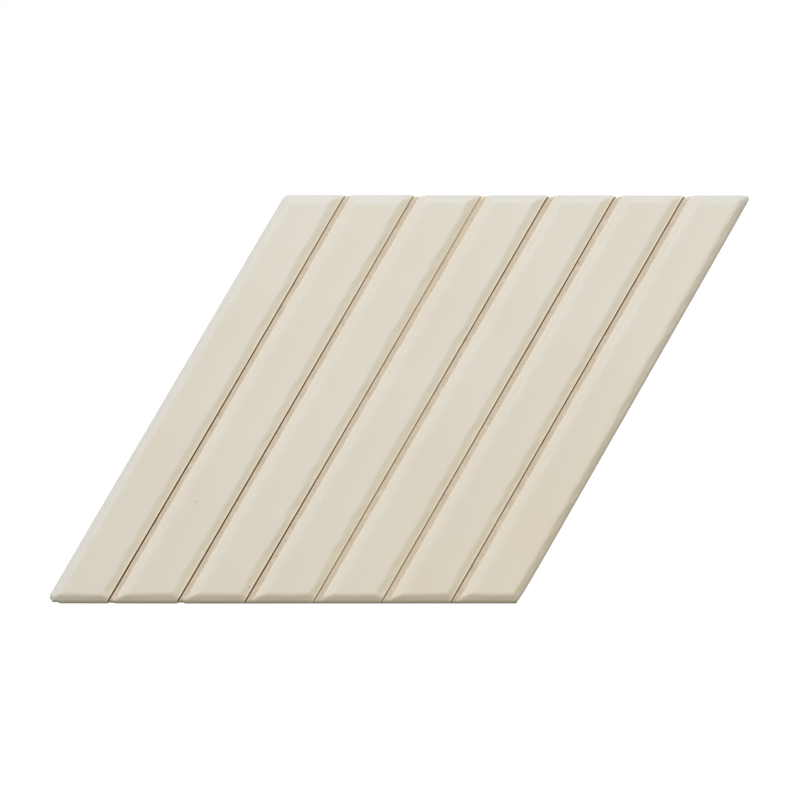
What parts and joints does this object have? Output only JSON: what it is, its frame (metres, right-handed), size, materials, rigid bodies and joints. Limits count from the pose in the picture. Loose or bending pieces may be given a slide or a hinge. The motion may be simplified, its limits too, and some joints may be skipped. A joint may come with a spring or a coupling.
{
  "type": "ribbed rhombus ceramic wall tile",
  "caption": "Rhombus glazed wall tile with pillowed plank-like ribs running parallel to its slanted edges, split by narrow false joints, flat back.",
  "frame": {"origin": "middle of the tile's box, on the flat back", "axes": "+X along the two level edges, +Y across them so that the ribs lean to the right, +Z out of the glazed face"},
  "size_m": [0.2264, 0.1326, 0.0085],
  "materials": {
    "glaze": "cream satin-gloss glaze over a pale fired clay body"
  },
  "bodies": {
    "root": {"tile": "glaze"}
  },
  "joints": []
}
